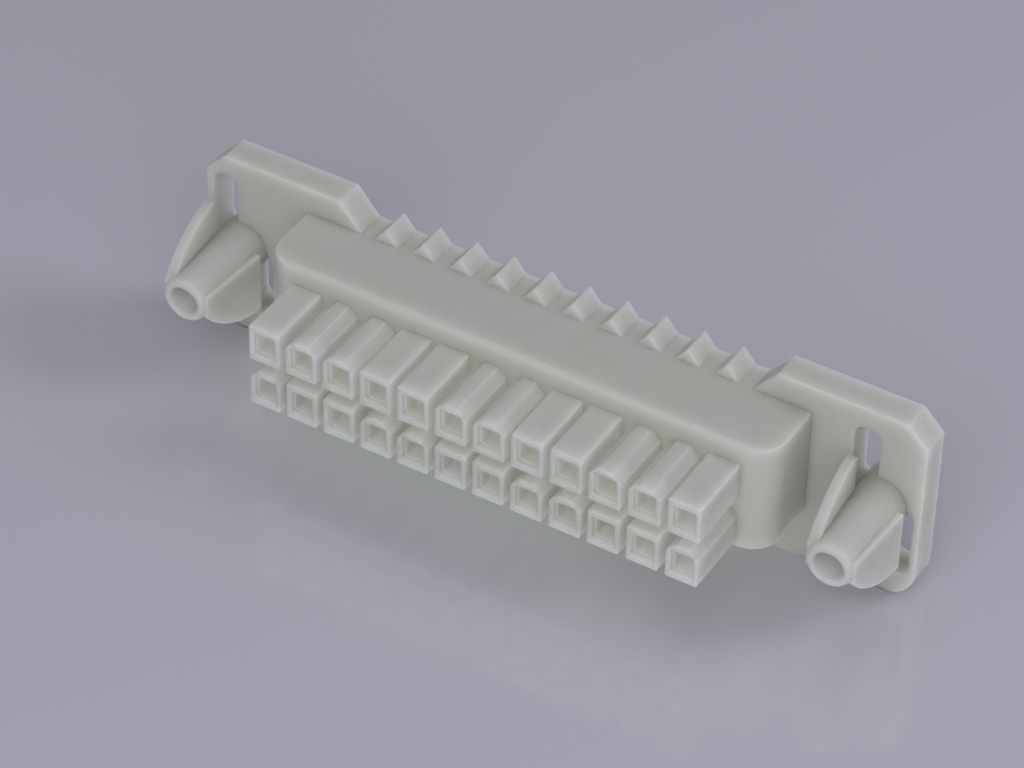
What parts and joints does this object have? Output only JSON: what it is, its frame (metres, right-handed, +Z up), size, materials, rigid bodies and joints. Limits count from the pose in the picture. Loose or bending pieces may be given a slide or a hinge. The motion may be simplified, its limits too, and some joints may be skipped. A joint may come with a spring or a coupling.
{
  "type": "socket header",
  "caption": "One-piece translucent nylon panel receptacle housing with two rows of keyed silos, a notched flange with rounded ears, and hollow guide posts with snap wings.",
  "frame": {"origin": "middle of the width and of the depth, on the flange's lower edge", "axes": "+X along the contact rows, -Y towards the mating side, +Z up as the flange stands"},
  "size_m": [0.08, 0.0186, 0.0212],
  "materials": {
    "housing": "satin, translucent natural nylon"
  },
  "bodies": {
    "root": {"housing": "housing"}
  },
  "joints": []
}
